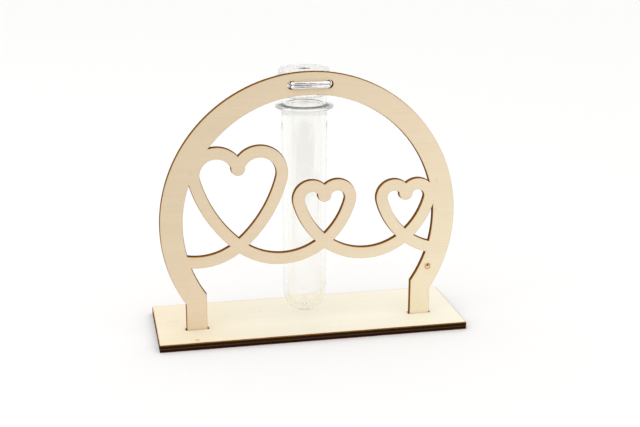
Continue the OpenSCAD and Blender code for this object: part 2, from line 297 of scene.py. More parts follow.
def laser_cut_edge(name, across, low, high, plies):
    """The wall that the laser leaves: charred plies, matt, with its fine marks across them.

    across is the axis through the sheet, from low to high. plies are the colours on the way:
    (share, colour).
    """
    material, tree = new_material(name)
    place = add(tree, "ShaderNodeTexCoord").outputs["Object"]
    parts = add(tree, "ShaderNodeSeparateXYZ", links={0: place}).outputs
    # The plies' lines waver a little every 3 mm
    wobble_place = add(tree, "ShaderNodeMapping", {"Scale": (0.3 / MM,) * 3}, {"Vector": place}).outputs[0]
    wobble = add(tree, "ShaderNodeTexNoise", {"Scale": 1, "Detail": 2},
                 {"Vector": wobble_place}).outputs[0]
    depth = add(tree, "ShaderNodeMapRange", {"From Min": low, "From Max": high},
                {"Value": parts[across]}).outputs[0]
    wobbled = add(tree, "ShaderNodeMath", {"operation": "MULTIPLY_ADD", 1: 0.06},
                  {0: wobble, 2: depth}).outputs[0]
    charred = add(tree, "ShaderNodeValToRGB",
                  {"stops": [(share, colour(tone)) for share, tone in plies]}, {0: wobbled}).outputs[0]
    # The laser's marks run across the sheet, 0.6 mm apart, which is coarse enough to show
    mark_scale = [1.6 / MM] * 3
    mark_scale[across] = 0.12 / MM
    mark_place = add(tree, "ShaderNodeMapping", {"Scale": mark_scale}, {"Vector": place}).outputs[0]
    marks = add(tree, "ShaderNodeTexNoise", {"Scale": 1, "Detail": 3}, {"Vector": mark_place}).outputs[0]
    mark_tone = add(tree, "ShaderNodeValToRGB", {"stops": [(0.3, grey(0.5)), (0.7, grey(1))]},
                    {0: marks}).outputs[0]
    marked = add(tree, "ShaderNodeMix", {"data_type": "RGBA", "blend_type": "MULTIPLY", 0: 0.6},
                 {6: charred, 7: mark_tone}).outputs[2]
    bump = add(tree, "ShaderNodeBump", {"Strength": 0.5, "Distance": 0.06 * MM},
               {"Height": marks}).outputs[0]
    roughness = add(tree, "ShaderNodeMapRange", {"To Min": 0.6, "To Max": 0.85},
                    {"Value": marks}).outputs[0]
    surface = add(tree, "ShaderNodeBsdfPrincipled", {"Specular IOR Level": 0},
                  {"Base Color": marked, "Roughness": roughness, "Normal": bump}).outputs[0]
    add(tree, "ShaderNodeOutputMaterial", links={"Surface": surface})
    return material


BASE_RIM_W, BASE_RIM_SHARE = 0.6 * MM, 0.7
base_low, base_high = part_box("base_plate")
# Its tones go from yellower at the left front to paler and whiter at the right back: partly the veneer's
# own, partly painted light, brighter on the right
base_veneer = sanded_birch(
    "sanded_birch_base", turn=(0, 0, 0), tones=("#f0e3c7", "#ede8d6", "#f2eedc"),
    start=(-88, -20), end=(60, 30),
    knots=[(-66.8, -26.3, 1.1, 0.5), (-76.2, 2.9, 0.8, 0.15), (-26.1, 10.3, 0.6, 0.2)])
base_edge = laser_cut_edge(
    "charred_base_edge", Z, base_low.z, base_high.z,
    plies=[(0.1, "#6a3622"), (0.17, "#26170d"), (0.42, "#2c1c12"), (0.48, "#5c4c3e"),
           (0.55, "#2c1c12"), (0.85, "#2a190d"), (0.9, "#8a5c1c")])
base = cut_sheet("birch_base", "base_plate", across=Z, rim_width=BASE_RIM_W,
                 rim_share=BASE_RIM_SHARE, lean=0, materials=[base_veneer, base_edge])
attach(base, "stand")
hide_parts("base_plate")


# Arch panel
# One piece of 3 mm birch plywood: the round band, the line of hearts inside it and the two
# feet, which push into the base plate's slots. The laser cut it from the front, which left
# its walls brown and leaning, so a thin brown line shows beside the front face.
ARCH_RIM_W, ARCH_RIM_SHARE = 0.4 * MM, 0.3
ARCH_LEAN = 0.25 * MM
arch_low, arch_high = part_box("arch_panel")
# Its tones go from darker at the upper left to paler at the lower right: partly the veneer's own, partly
# painted light, brighter low on the right
arch_veneer = sanded_birch(
    "sanded_birch_arch", turn=(radians(-90), 0, 0), tones=("#d9c6a8", "#e4d1b4", "#efe3c5"),
    start=(-90, 95), end=(35, -30),
    knots=[(69.5, 33.2, 1.45, 0.95), (61.1, 43.0, 1.2, 0.15), (72.9, 67.0, 0.9, 0.12),
           (73.6, 84.2, 0.7, 0.12), (-66.8, 95.6, 0.8, 0.12)])
arch_edge = laser_cut_edge(
    "browned_arch_edge", Y, arch_low.y, arch_high.y,
    plies=[(0.1, "#a46e26"), (0.35, "#86561a"), (0.6, "#724814"), (0.95, "#58360e")])
arch = cut_sheet("birch_arch", "arch_panel", across=Y, rim_width=ARCH_RIM_W,
                 rim_share=ARCH_RIM_SHARE, lean=ARCH_LEAN, materials=[arch_veneer, arch_edge])
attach(arch, "stand")
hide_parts("arch_panel")


# Clear tube
# A moulded preform of clear PET, which is thick in the wall: a round bottom with the stub
# that the mould leaves, a support ring with a frosted edge, and a neck with a right-hand
# thread. It stands on the plate, held up by the wire.
tube_low, tube_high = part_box("vase_tube")
TUBE_Y = (tube_low.y + tube_high.y) / 2
RIM_Z = tube_high.z
NECK_R = 12.5 * MM
NECK_WALL = 1.65 * MM
NECK_H = 18.8 * MM
NECK_FILLET = 0.9 * MM
RIM_ROUND = 0.4 * MM
RING_R = (tube_high.x - tube_low.x) / 2
RING_T = 1.5 * MM
RING_ROUND = 0.6 * MM
BODY_TOP_R = 12.9 * MM
BODY_FLARE = 0.15 * MM
BODY_WALL = 2.9 * MM
DOME_R = 12.4 * MM
DOME_STEP = 0.0001 * MM
STUB_R = 1.6 * MM
STUB_H = 0.8 * MM
STUB_ROUND = 0.3 * MM
STUB_BLEND_ANGLE = 2
BORE_CONE_H = 8 * MM
THREAD_CREST_R = 13.35 * MM
THREAD_PITCH = 3 * MM
THREAD_WIDTH = 1.9 * MM
THREAD_CREST_SHARE = 0.12
THREAD_TURNS = 3.0
THREAD_RUN_IN = 0.08
THREAD_START = 4.2 * MM
TUBE_COLUMNS, DOME_STEPS, NECK_STEPS = 192, 28, 84
DOME_GAP, FLARE_GAP, FILLET_GAP, RIM_GAP, MOUTH_GAP = 0.5 * MM, 0.2 * MM, 0.2 * MM, 0.1 * MM, 1 * MM
FROST_STEP = 0.5 * MM
RING_EDGE_SHADE = 0.25


def arc(centre, radius, start, end, steps):
    """Points (r, z) along an arc, between two angles in degrees."""
    angles = [radians(start + (end - start) * i / steps) for i in range(steps + 1)]
    return [(centre[0] + radius * cos(a), centre[1] + radius * sin(a)) for a in angles]


def line(start, end, steps):
    """Points (r, z) along a straight line, without its end."""
    return [tuple(s + (e - s) * i / steps for s, e in zip(start, end)) for i in range(steps)]


def revolved(name, profile, columns, masks):
    """A closed skin turned about the tube's axis, from a profile of (r, z) that starts and
    ends on the axis. masks gives a float attribute's name and its value at (r, z)."""
    mesh = bmesh.new()
    layers = {key: mesh.verts.layers.float.new(key) for key in masks}
    rings = []
    for r, z in profile:
        turns = [2 * pi * k / columns for k in range(columns if r > WELD else 1)]
        ring = [mesh.verts.new((r * cos(a), TUBE_Y + r * sin(a), z)) for a in turns]
        for key, layer in layers.items():
            for v in ring:
                v[layer] = float(masks[key](r, z))
        rings.append(ring)
    for below, above in zip(rings, rings[1:]):
        for k in range(columns):
            j = (k + 1) % columns
            corners = [below[k % len(below)], below[j % len(below)],
                       above[j % len(above)], above[k % len(above)]]
            mesh.faces.new(list(dict.fromkeys(corners)))
    bmesh.ops.recalc_face_normals(mesh, faces=mesh.faces)
    for f in mesh.faces:
        f.smooth = True
    data = bpy.data.meshes.new(name)
    mesh.to_mesh(data)
    mesh.free()
    return placed(name, data)


def node_modifier(name, sizes):
    """A geometry node tree with named size inputs, and what its input node gives."""
    tree = bpy.data.node_groups.new(name, "GeometryNodeTree")
    tree.interface.new_socket("Geometry", in_out="INPUT", socket_type="NodeSocketGeometry")
    tree.interface.new_socket("Material", in_out="INPUT", socket_type="NodeSocketMaterial")
    for size, kind in sizes.items():
        tree.interface.new_socket(size, in_out="INPUT", socket_type=kind)
    tree.interface.new_socket("Geometry", in_out="OUTPUT", socket_type="NodeSocketGeometry")
    return tree, add(tree, "NodeGroupInput").outputs


def finish_tree(tree, geometry, material):
    """Ends a tree with real faces and their material."""
    real = add(tree, "GeometryNodeRealizeInstances", links={0: geometry}).outputs[0]
    coated = add(tree, "GeometryNodeSetMaterial", links={"Geometry": real, "Material": material}).outputs[0]
    add(tree, "NodeGroupOutput", links={0: coated})


def shaped(piece, tree, values):
    """The piece with its tree's result as its own plain mesh."""
    modifier = piece.modifiers.new(tree.name, "NODES")
    modifier.node_group = tree
    sockets = {s.name: s.identifier for s in tree.interface.items_tree if s.in_out == "INPUT"}
    for key, value in values.items():
        modifier[sockets[key]] = value
    bpy.context.view_layer.update()
    evaluated = piece.evaluated_get(bpy.context.evaluated_depsgraph_get())
    data = bpy.data.meshes.new_from_object(evaluated)
    data.name = piece.name
    piece.modifiers.remove(modifier)
    piece.data = data
    return piece


def about_axis(tree, axis_y):
    """Each point's angle about the tube's axis, its height, and its level way outwards."""
    place = add(tree, "GeometryNodeInputPosition").outputs[0]
    axis = add(tree, "ShaderNodeCombineXYZ", links={1: axis_y}).outputs[0]
    centred = add(tree, "ShaderNodeVectorMath", {"operation": "SUBTRACT"},
                  {0: place, 1: axis}).outputs[0]
    parts = add(tree, "ShaderNodeSeparateXYZ", links={0: centred}).outputs
    angle = add(tree, "ShaderNodeMath", {"operation": "ARCTAN2"}, {0: parts[1], 1: parts[0]}).outputs[0]
    level_way = add(tree, "ShaderNodeVectorMath", {"operation": "MULTIPLY", 1: (1, 1, 0)},
                    {0: centred}).outputs[0]
    outward = add(tree, "ShaderNodeVectorMath", {"operation": "NORMALIZE"}, {0: level_way}).outputs[0]
    return angle, parts[2], outward


def moved(tree, geometry, way, distance):
    """The geometry with its points moved along a way."""
    offset = add(tree, "ShaderNodeVectorMath", {"operation": "SCALE"},
                 {0: way, "Scale": distance}).outputs[0]
    return add(tree, "GeometryNodeSetPosition", links={"Geometry": geometry, "Offset": offset}).outputs[0]


def thread_tree():
    """Raises one helical ridge on the points whose attribute neck is 1."""
    tree, given = node_modifier("neck_thread", {
        "Axis Y": "NodeSocketFloat", "Start Height": "NodeSocketFloat", "Pitch": "NodeSocketFloat",
        "Turns": "NodeSocketFloat", "Ridge Height": "NodeSocketFloat", "Ridge Width": "NodeSocketFloat"})
    angle, height, outward = about_axis(tree, given["Axis Y"])
    # How far a point lies above or below the nearest turn of the helix
    turn = add(tree, "ShaderNodeMath", {"operation": "DIVIDE", 1: 2 * pi}, {0: angle}).outputs[0]
    rise = add(tree, "ShaderNodeMath", {"operation": "SUBTRACT"},
               {0: height, 1: given["Start Height"]}).outputs[0]
    level = add(tree, "ShaderNodeMath", {"operation": "DIVIDE"}, {0: rise, 1: given["Pitch"]}).outputs[0]
    phase = add(tree, "ShaderNodeMath", {"operation": "SUBTRACT"}, {0: level, 1: turn}).outputs[0]
    whole = add(tree, "ShaderNodeMath", {"operation": "ROUND"}, {0: phase}).outputs[0]
    beside = add(tree, "ShaderNodeMath", {"operation": "SUBTRACT"}, {0: phase, 1: whole}).outputs[0]
    apart = add(tree, "ShaderNodeMath", {"operation": "ABSOLUTE"}, {0: beside}).outputs[0]
    distance = add(tree, "ShaderNodeMath", {"operation": "MULTIPLY"},
                   {0: apart, 1: given["Pitch"]}).outputs[0]
    # The ridge has a narrow crest, and flanks that run out smoothly at half its width
    half = add(tree, "ShaderNodeMath", {"operation": "MULTIPLY", 1: 0.5},
               {0: given["Ridge Width"]}).outputs[0]
    crest = add(tree, "ShaderNodeMath", {"operation": "MULTIPLY", 1: THREAD_CREST_SHARE},
                {0: given["Ridge Width"]}).outputs[0]
    flank = add(tree, "ShaderNodeMapRange", {"interpolation_type": "SMOOTHSTEP", "To Min": 1, "To Max": 0},
                {"Value": distance, "From Min": crest, "From Max": half}).outputs[0]
    # It starts and ends softly, within a twelfth of a turn
    along = add(tree, "ShaderNodeMath", {"operation": "ADD"}, {0: whole, 1: turn}).outputs[0]
    left = add(tree, "ShaderNodeMath", {"operation": "SUBTRACT"}, {0: given["Turns"], 1: along}).outputs[0]
    run_in, run_out = [
        add(tree, "ShaderNodeMapRange",
            {"interpolation_type": "SMOOTHSTEP", "From Max": THREAD_RUN_IN},
            {"Value": turns}).outputs[0] for turns in (along, left)]
    ends = add(tree, "ShaderNodeMath", {"operation": "MULTIPLY"}, {0: run_in, 1: run_out}).outputs[0]
    on_neck = add(tree, "GeometryNodeInputNamedAttribute",
                  {"data_type": "FLOAT", "Name": "neck"}).outputs[0]
    ridge = add(tree, "ShaderNodeMath", {"operation": "MULTIPLY"}, {0: flank, 1: ends}).outputs[0]
    masked = add(tree, "ShaderNodeMath", {"operation": "MULTIPLY"}, {0: ridge, 1: on_neck}).outputs[0]
    raised = add(tree, "ShaderNodeMath", {"operation": "MULTIPLY"},
                 {0: masked, 1: given["Ridge Height"]}).outputs[0]
    finish_tree(tree, moved(tree, given["Geometry"], outward, raised), given["Material"])
    return tree


def clear_plastic(name, tint, painted_shade_tint, milk, shade_share, roughness, ior, ripple):
    """Clear moulded plastic: glossy, with the slow ripples of a mould and faint scuffs.

    Tight corners, where the shade mask attribute is 1, are painted towards a grey tint: a
    painted shade for the light that they swallow. milk is the share of light that a cloudy
    plastic scatters, and the attribute cloud adds to it where the moulding is frosted. Lamps
    shine through it, less shade_share.
    """
    material, tree = new_material(name)
    millimetres = in_millimetres(tree)
    # Scuffs from handling, about 1 mm wide and 12 mm long, which blur the gloss in streaks
    scuff_place = add(tree, "ShaderNodeMapping", {"Scale": (0.8, 0.8, 0.08)},
                      {"Vector": millimetres}).outputs[0]
    scuffs = add(tree, "ShaderNodeTexNoise", {"Scale": 1, "Detail": 3}, {"Vector": scuff_place}).outputs[0]
    rough = add(tree, "ShaderNodeMapRange", {"From Min": 0.45, "From Max": 0.8, "To Min": roughness,
                                             "To Max": roughness + 0.06}, {"Value": scuffs}).outputs[0]
    # Ripples 6 mm wide and 20 mm long, which bend what is seen through the plastic
    wave_place = add(tree, "ShaderNodeMapping", {"Scale": (0.16, 0.16, 0.05)},
                     {"Vector": millimetres}).outputs[0]
    waves = add(tree, "ShaderNodeTexNoise", {"Scale": 1, "Detail": 1}, {"Vector": wave_place}).outputs[0]
    bump = add(tree, "ShaderNodeBump", {"Strength": 0.3, "Distance": ripple}, {"Height": waves}).outputs[0]
    # Painted shade: the colour goes from the plastic's tint to a grey tint where the shade mask is 1
    crease = add(tree, "ShaderNodeAttribute", {"attribute_name": "crease"}).outputs["Fac"]
    shade = add(tree, "ShaderNodeValToRGB", {"stops": [(0, colour(tint)), (1, colour(painted_shade_tint))]},
                {0: crease}).outputs[0]
    cloud = add(tree, "ShaderNodeAttribute", {"attribute_name": "cloud"}).outputs["Fac"]
    clear = add(tree, "ShaderNodeMapRange", {"To Min": 1 - milk, "To Max": 0.65 - milk},
                {"Value": cloud}).outputs[0]
    plastic = add(tree, "ShaderNodeBsdfPrincipled", {"IOR": ior}, {
        "Base Color": shade, "Roughness": rough, "Normal": bump, "Transmission Weight": clear}).outputs[0]
    passed = add(tree, "ShaderNodeBsdfTransparent", {"Color": grey(1 - shade_share)}).outputs[0]
    to_lamp = add(tree, "ShaderNodeLightPath").outputs["Is Shadow Ray"]
    surface = add(tree, "ShaderNodeMixShader", links={0: to_lamp, 1: plastic, 2: passed}).outputs[0]
    add(tree, "ShaderNodeOutputMaterial", links={"Surface": surface})
    return material


foot_z = tube_low.z
dome_z = foot_z + STUB_H + DOME_R
ring_top = RIM_Z - NECK_H
ring_low = ring_top - RING_T
fillet_top = ring_top + NECK_FILLET
mouth_r = NECK_R - NECK_WALL
bore_top_r = BODY_TOP_R - BODY_WALL
bore_low_r = DOME_R - BODY_WALL
cone_z = ring_low - BORE_CONE_H
stub_angle = degrees(asin(STUB_R / DOME_R))
# From the stub up the outside and down the bore. A straight part starts and ends a small
# gap off the rounds beside it, so that no two points meet.
tube_profile = (
    [(0, foot_z)] + arc((STUB_R - STUB_ROUND, foot_z + STUB_ROUND), STUB_ROUND, -90, 0, 4)
    + arc((0, dome_z), DOME_R, stub_angle - 90 + STUB_BLEND_ANGLE, 0, DOME_STEPS)
    + line((DOME_R + DOME_STEP, dome_z + DOME_GAP), (BODY_TOP_R, ring_low - FLARE_GAP), 12)
    + [(BODY_TOP_R, ring_low - BODY_FLARE), (BODY_TOP_R + BODY_FLARE, ring_low)]
    + arc((RING_R - RING_ROUND, ring_low + RING_ROUND), RING_ROUND, -90, 0, 6)
    + arc((RING_R - RING_ROUND, ring_top - RING_ROUND), RING_ROUND, 0, 90, 6)
    + arc((NECK_R + NECK_FILLET, fillet_top), NECK_FILLET, -90, -180, 6)
    + line((NECK_R, fillet_top + FILLET_GAP), (NECK_R, RIM_Z - RIM_ROUND - RIM_GAP), NECK_STEPS)
    + arc((NECK_R - RIM_ROUND, RIM_Z - RIM_ROUND), RIM_ROUND, 0, 90, 5)
    + arc((mouth_r + RIM_ROUND, RIM_Z - RIM_ROUND), RIM_ROUND, 90, 180, 5)
    + line((mouth_r, RIM_Z - MOUTH_GAP), (mouth_r, ring_low), 8)
    + line((mouth_r, ring_low), (bore_top_r, cone_z), 5)
    + line((bore_top_r, cone_z), (bore_low_r, dome_z), 14)
    + arc((0, dome_z), bore_low_r, 0, -90, 24)[:-1] + [(0, dome_z - bore_low_r)])


def threaded(r, z):
    """The neck's outside, where the thread stands."""
    return abs(r - NECK_R) < WELD and fillet_top < z < RIM_Z


def tube_painted_shade(r, z):
    """Painted shade: fully in the fillet at the neck's foot, and a faint painted shade under the support
    ring's edge.
    """
    in_fillet = NECK_R - WELD < r < NECK_R + 0.6 * NECK_FILLET and ring_top < z < fillet_top
    under_edge = r > RING_R - RING_ROUND and z < ring_low + 0.8 * RING_ROUND
    return in_fillet + RING_EDGE_SHADE * under_edge


def frosted(r, z):
    """The support ring, from a small step beyond the body."""
    return r > BODY_TOP_R + FROST_STEP


tube = revolved("clear_tube", tube_profile, TUBE_COLUMNS,
                {"neck": threaded, "crease": tube_painted_shade, "cloud": frosted})
# Its dark grey tint is painted shade in the neck's fillet and under the ring's edge
tube_plastic = clear_plastic("moulded_clear_pet", tint="#fdfdfb", painted_shade_tint="#3a3a38", milk=0,
                             shade_share=0.12, roughness=0.01, ior=1.575, ripple=0.002 * MM)
tube = shaped(tube, thread_tree(), {
    "Material": tube_plastic, "Axis Y": TUBE_Y, "Start Height": ring_top + THREAD_START,
    "Pitch": THREAD_PITCH, "Turns": THREAD_TURNS, "Ridge Height": THREAD_CREST_R - NECK_R,
    "Ridge Width": THREAD_WIDTH})
tube.visible_diffuse = False
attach(tube, "tube")
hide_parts("vase_tube")


# Screw cap
# A moulded cap of clear plastic, a little cloudy, over the tube's rim: a skirt with a
# hundred fine ribs below a smooth rim, and a dimple in its top, where the plastic entered
# the mould and left a nub.
cap_low, cap_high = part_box("screw_cap")
CAP_R = (cap_high.x - cap_low.x) / 2
CAP_BORE_R = 13.6 * MM
CAP_TOP_T = 1.6 * MM
CAP_ROUND = 0.8 * MM
CORNER_R = 0.15 * MM
RIB_COUNT = 100
RIB_DEPTH = 0.3 * MM
RIB_FOOT_GAP = 0.4 * MM
CREST_ABOVE, FLOOR_BELOW = 0.5, -0.6
GROOVE_SHADE = 0.1
COLUMNS_PER_RIB = 8
RIM_H = 1.2 * MM
RIM_STEP = 0.1 * MM
WALL_GAP = 1 * MM
FOOT_LIFT, SHELF_LIFT = 0.01 * MM, 0.02 * MM
DIMPLE_R = 3.7 * MM
DIMPLE_DEPTH = 0.6 * MM
NUB_R = 0.7 * MM


def rib_tree():
    """Cuts the grooves between the ribs into the points whose attribute skirt is 1, and paints a little
    shade into them.
    """
    tree, given = node_modifier("cap_ribs", {
        "Axis Y": "NodeSocketFloat", "Ribs": "NodeSocketInt", "Depth": "NodeSocketFloat"})
    angle, _, outward = about_axis(tree, given["Axis Y"])
    swing = add(tree, "ShaderNodeMath", {"operation": "MULTIPLY"}, {0: angle, 1: given["Ribs"]}).outputs[0]
    wave = add(tree, "ShaderNodeMath", {"operation": "COSINE"}, {0: swing}).outputs[0]
    # The top of each wave is a rib's flat crest, and its bottom a groove's floor
    groove = add(tree, "ShaderNodeMapRange",
                 {"interpolation_type": "SMOOTHSTEP", "From Min": CREST_ABOVE, "From Max": FLOOR_BELOW},
                 {"Value": wave}).outputs[0]
    skirt = add(tree, "GeometryNodeInputNamedAttribute",
                {"data_type": "FLOAT", "Name": "skirt"}).outputs[0]
    cut = add(tree, "ShaderNodeMath", {"operation": "MULTIPLY"}, {0: groove, 1: skirt}).outputs[0]
    depth = add(tree, "ShaderNodeMath", {"operation": "MULTIPLY"}, {0: cut, 1: given["Depth"]}).outputs[0]
    inward = add(tree, "ShaderNodeMath", {"operation": "MULTIPLY", 1: -1}, {0: depth}).outputs[0]
    # Painted shade: a groove is also painted a little grey, as the tight corners are
    corner_shade = add(tree, "GeometryNodeInputNamedAttribute",
                 {"data_type": "FLOAT", "Name": "crease"}).outputs[0]
    crease = add(tree, "ShaderNodeMath", {"operation": "MULTIPLY_ADD", 1: GROOVE_SHADE},
                 {0: cut, 2: corner_shade}).outputs[0]
    marked = add(tree, "GeometryNodeStoreNamedAttribute",
                 {"data_type": "FLOAT", "domain": "POINT", "Name": "crease"},
                 {"Geometry": given["Geometry"], "Value": crease}).outputs[0]
    finish_tree(tree, moved(tree, marked, outward, inward), given["Material"])
    return tree


cap_z, cap_top = cap_low.z, cap_high.z
rib_top = cap_top - RIM_H
inner_top = cap_top - CAP_TOP_T
dimple_z = cap_top - DIMPLE_DEPTH
plain_r = CAP_R - RIB_DEPTH - RIM_STEP
# From the middle of the inside, down the bore, up the skirt and over the top
cap_profile = (
    [(0, inner_top)] + line((CAP_BORE_R * 0.5, inner_top), (CAP_BORE_R - CORNER_R, inner_top), 3)
    + [(CAP_BORE_R - CORNER_R, inner_top), (CAP_BORE_R, inner_top - CORNER_R)]
    + line((CAP_BORE_R, inner_top - WALL_GAP), (CAP_BORE_R, cap_z + CORNER_R), 6)
    + [(CAP_BORE_R, cap_z + CORNER_R), (CAP_BORE_R + CORNER_R, cap_z)]
    + [(CAP_R - RIB_DEPTH - CORNER_R, cap_z), (CAP_R - CORNER_R, cap_z + FOOT_LIFT)]
    + [(CAP_R, cap_z + CORNER_R)]
    + line((CAP_R, cap_z + RIB_FOOT_GAP), (CAP_R, rib_top - CORNER_R), 8)
    + [(CAP_R, rib_top - CORNER_R), (CAP_R - CORNER_R, rib_top), (plain_r, rib_top + SHELF_LIFT)]
    + arc((plain_r - CAP_ROUND, cap_top - CAP_ROUND), CAP_ROUND, 0, 90, 8)
    + line((plain_r - CAP_ROUND - WALL_GAP, cap_top), (DIMPLE_R + CORNER_R, cap_top), 3)
    + arc((DIMPLE_R + CORNER_R, cap_top - CORNER_R), CORNER_R, 90, 180, 4)
    + arc((DIMPLE_R - CORNER_R, dimple_z + CORNER_R), CORNER_R, 0, -90, 4)
    + arc((NUB_R + CORNER_R, dimple_z + CORNER_R), CORNER_R, -90, -180, 4)
    + arc((NUB_R - CORNER_R, cap_top - CORNER_R), CORNER_R, 0, 90, 4) + [(0, cap_top)])


def ribbed(r, z):
    """The skirt's outside, below the smooth rim."""
    return r > CAP_R - CORNER_R - WELD and z < rib_top


def cap_painted_shade(r, z):
    """Painted shade: the dimple's walls and floor, and the nub."""
    in_dimple = r < DIMPLE_R and z > dimple_z - WELD
    return in_dimple and (z < cap_top - CORNER_R or r < NUB_R + CORNER_R)


cap = revolved("clear_cap", cap_profile, RIB_COUNT * COLUMNS_PER_RIB,
               {"skirt": ribbed, "crease": cap_painted_shade})
# Its grey tint is painted shade in the dimple and, more faintly, in the ribs' grooves
cap_plastic = clear_plastic("moulded_clear_cap", tint="#f3f3f1", painted_shade_tint="#5e5b54", milk=0.4,
                            shade_share=0.02, roughness=0.05, ior=1.45, ripple=0.005 * MM)
cap = shaped(cap, rib_tree(), {"Material": cap_plastic, "Axis Y": TUBE_Y, "Ribs": RIB_COUNT,
                               "Depth": RIB_DEPTH})
cap.visible_diffuse = False
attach(cap, "cap")
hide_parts("screw_cap")


# Wire
# One length of bright drawn aluminium wire, bent by hand. It makes two turns round the cap
# and through the arch's two holes, and its ends overlap at the back.
wire_low, wire_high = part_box("wire_loop")
WIRE_R = 0.95 * MM
HOLE_X = 10.5 * MM
BEND_R = 1.6 * MM
SPREAD_R = 3 * MM
WIRE_SIDES = 32
TURN_STEP = 3
BEND_STEP = 6
CLIMB_ANGLE = 14
CLIMB_POINTS = 12
END_ANGLE = 19

loop_r = (wire_high.x - wire_low.x) / 2 - WIRE_R
front_y = wire_low.y + WIRE_R
wire_z = (wire_low.z + wire_high.z) / 2
turn_rise = wire_high.z - wire_low.z - 2 * WIRE_R
spread_y = TUBE_Y - sqrt((loop_r + SPREAD_R) ** 2 - (HOLE_X + SPREAD_R) ** 2)
spread_angle = degrees(asin((TUBE_Y - spread_y) / (loop_r + SPREAD_R)))


def bend(centre, radius, start, end, step):
    """Points (x, y) along a bend, between two angles in degrees."""
    count = ceil(abs(end - start) / step)
    angles = [radians(start + (end - start) * i / count) for i in range(count + 1)]
    return [(centre[0] + radius * cos(a), centre[1] + radius * sin(a)) for a in angles]


def half_turn(start):
    """The right half of a turn, seen from above, from its back to its front."""
    return (bend((0, TUBE_Y), loop_r, start, -spread_angle, TURN_STEP)
            + bend((HOLE_X + SPREAD_R, spread_y), SPREAD_R, 180 - spread_angle, 180, BEND_STEP)
            + bend((HOLE_X - BEND_R, front_y + BEND_R), BEND_R, 0, -90, BEND_STEP))


def flipped(points):
    """The same half on the left, from its front to its back."""
    return [(-x, y) for x, y in reversed(points)]


def wire_path():
    """The wire's middle line: a lower turn, the climb at the back, and an upper turn."""
    low, high = wire_z - turn_rise / 2, wire_z + turn_rise / 2
    points = [(x, y, low) for x, y in half_turn(90 - END_ANGLE) + flipped(half_turn(90 - CLIMB_ANGLE))]
    for i in range(1, CLIMB_POINTS + 1):
        share = i / (CLIMB_POINTS + 1)
        a = radians(90 + CLIMB_ANGLE * (1 - 2 * share))
        points.append((loop_r * cos(a), TUBE_Y + loop_r * sin(a), wire_z - turn_rise / 2 * cos(pi * share)))
    points += [(x, y, high) for x, y in half_turn(90 - CLIMB_ANGLE) + flipped(half_turn(90 - END_ANGLE))]
    return points


def wire_tree():
    """Draws a round wire along an edge path, and keeps how far each point is along it."""
    tree, given = node_modifier("drawn_wire", {"Radius": "NodeSocketFloat", "Sides": "NodeSocketInt"})
    curve = add(tree, "GeometryNodeMeshToCurve", links={0: given["Geometry"]}).outputs[0]
    along = add(tree, "GeometryNodeSplineParameter").outputs["Length"]
    marked = add(tree, "GeometryNodeStoreNamedAttribute",
                 {"data_type": "FLOAT", "domain": "POINT", "Name": "along"},
                 {"Geometry": curve, "Value": along}).outputs[0]
    ring = add(tree, "GeometryNodeCurvePrimitiveCircle",
               links={"Resolution": given["Sides"], "Radius": given["Radius"]}).outputs[0]
    drawn = add(tree, "GeometryNodeCurveToMesh", {"Fill Caps": True},
                {"Curve": marked, "Profile Curve": ring}).outputs[0]
    smooth = add(tree, "GeometryNodeSetShadeSmooth", links={0: drawn}).outputs[0]
    finish_tree(tree, smooth, given["Material"])
    return tree


def bright_wire():
    """Drawn aluminium: mirror-bright, with reflections that are drawn out along it."""
    material, tree = new_material("bright_drawn_aluminium")
    millimetres = in_millimetres(tree)
    # Slow dents from the hand that bent it, 4 mm apart, which break its reflections
    dents = add(tree, "ShaderNodeTexNoise", {"Scale": 0.25, "Detail": 1},
                {"Vector": millimetres}).outputs[0]
    bump = add(tree, "ShaderNodeBump", {"Strength": 0.5, "Distance": 0.25 * MM},
               {"Height": dents}).outputs[0]
    # Faint stretches from the drawing, 5 mm long, that change its tone and its polish
    along = add(tree, "ShaderNodeAttribute", {"attribute_name": "along"}).outputs["Fac"]
    steps = add(tree, "ShaderNodeMath", {"operation": "MULTIPLY", 1: 0.2 / MM}, {0: along}).outputs[0]
    lengthwise = add(tree, "ShaderNodeTexNoise", {"noise_dimensions": "1D", "Scale": 1, "Detail": 2},
                     {"W": steps}).outputs[0]
    rough = add(tree, "ShaderNodeMapRange", {"To Min": 0.02, "To Max": 0.09},
                {"Value": lengthwise}).outputs[0]
    tone = add(tree, "ShaderNodeValToRGB", {"stops": [(0.3, colour("#ececed")), (0.7, colour("#fafafa"))]},
               {0: lengthwise}).outputs[0]
    metal = add(tree, "ShaderNodeBsdfPrincipled", {"Metallic": 1},
                {"Base Color": tone, "Roughness": rough, "Normal": bump}).outputs[0]
    add(tree, "ShaderNodeOutputMaterial", links={"Surface": metal})
    return material


wire_data = bpy.data.meshes.new("bright_wire")
wire_points = wire_path()
wire_data.from_pydata(wire_points, [(i, i + 1) for i in range(len(wire_points) - 1)], [])
wire = shaped(placed("bright_wire", wire_data), wire_tree(), {
    "Material": bright_wire(), "Radius": WIRE_R, "Sides": WIRE_SIDES})
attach(wire, "stand")
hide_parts("wire_loop")


# Floor and light
# A white paper floor in a soft white room, which is brighter overhead and on the camera's
# side, with one large lamp to the upper left.
FLOOR_SIZE = 12
half_floor = FLOOR_SIZE / 2
floor_data = bpy.data.meshes.new("paper_floor")
floor_data.from_pydata([(x * half_floor, y * half_floor, 0) for x, y in (
    (-1, -1), (1, -1), (1, 1), (-1, 1))], [], [(0, 1, 2, 3)])
floor = placed("paper_floor", floor_data)
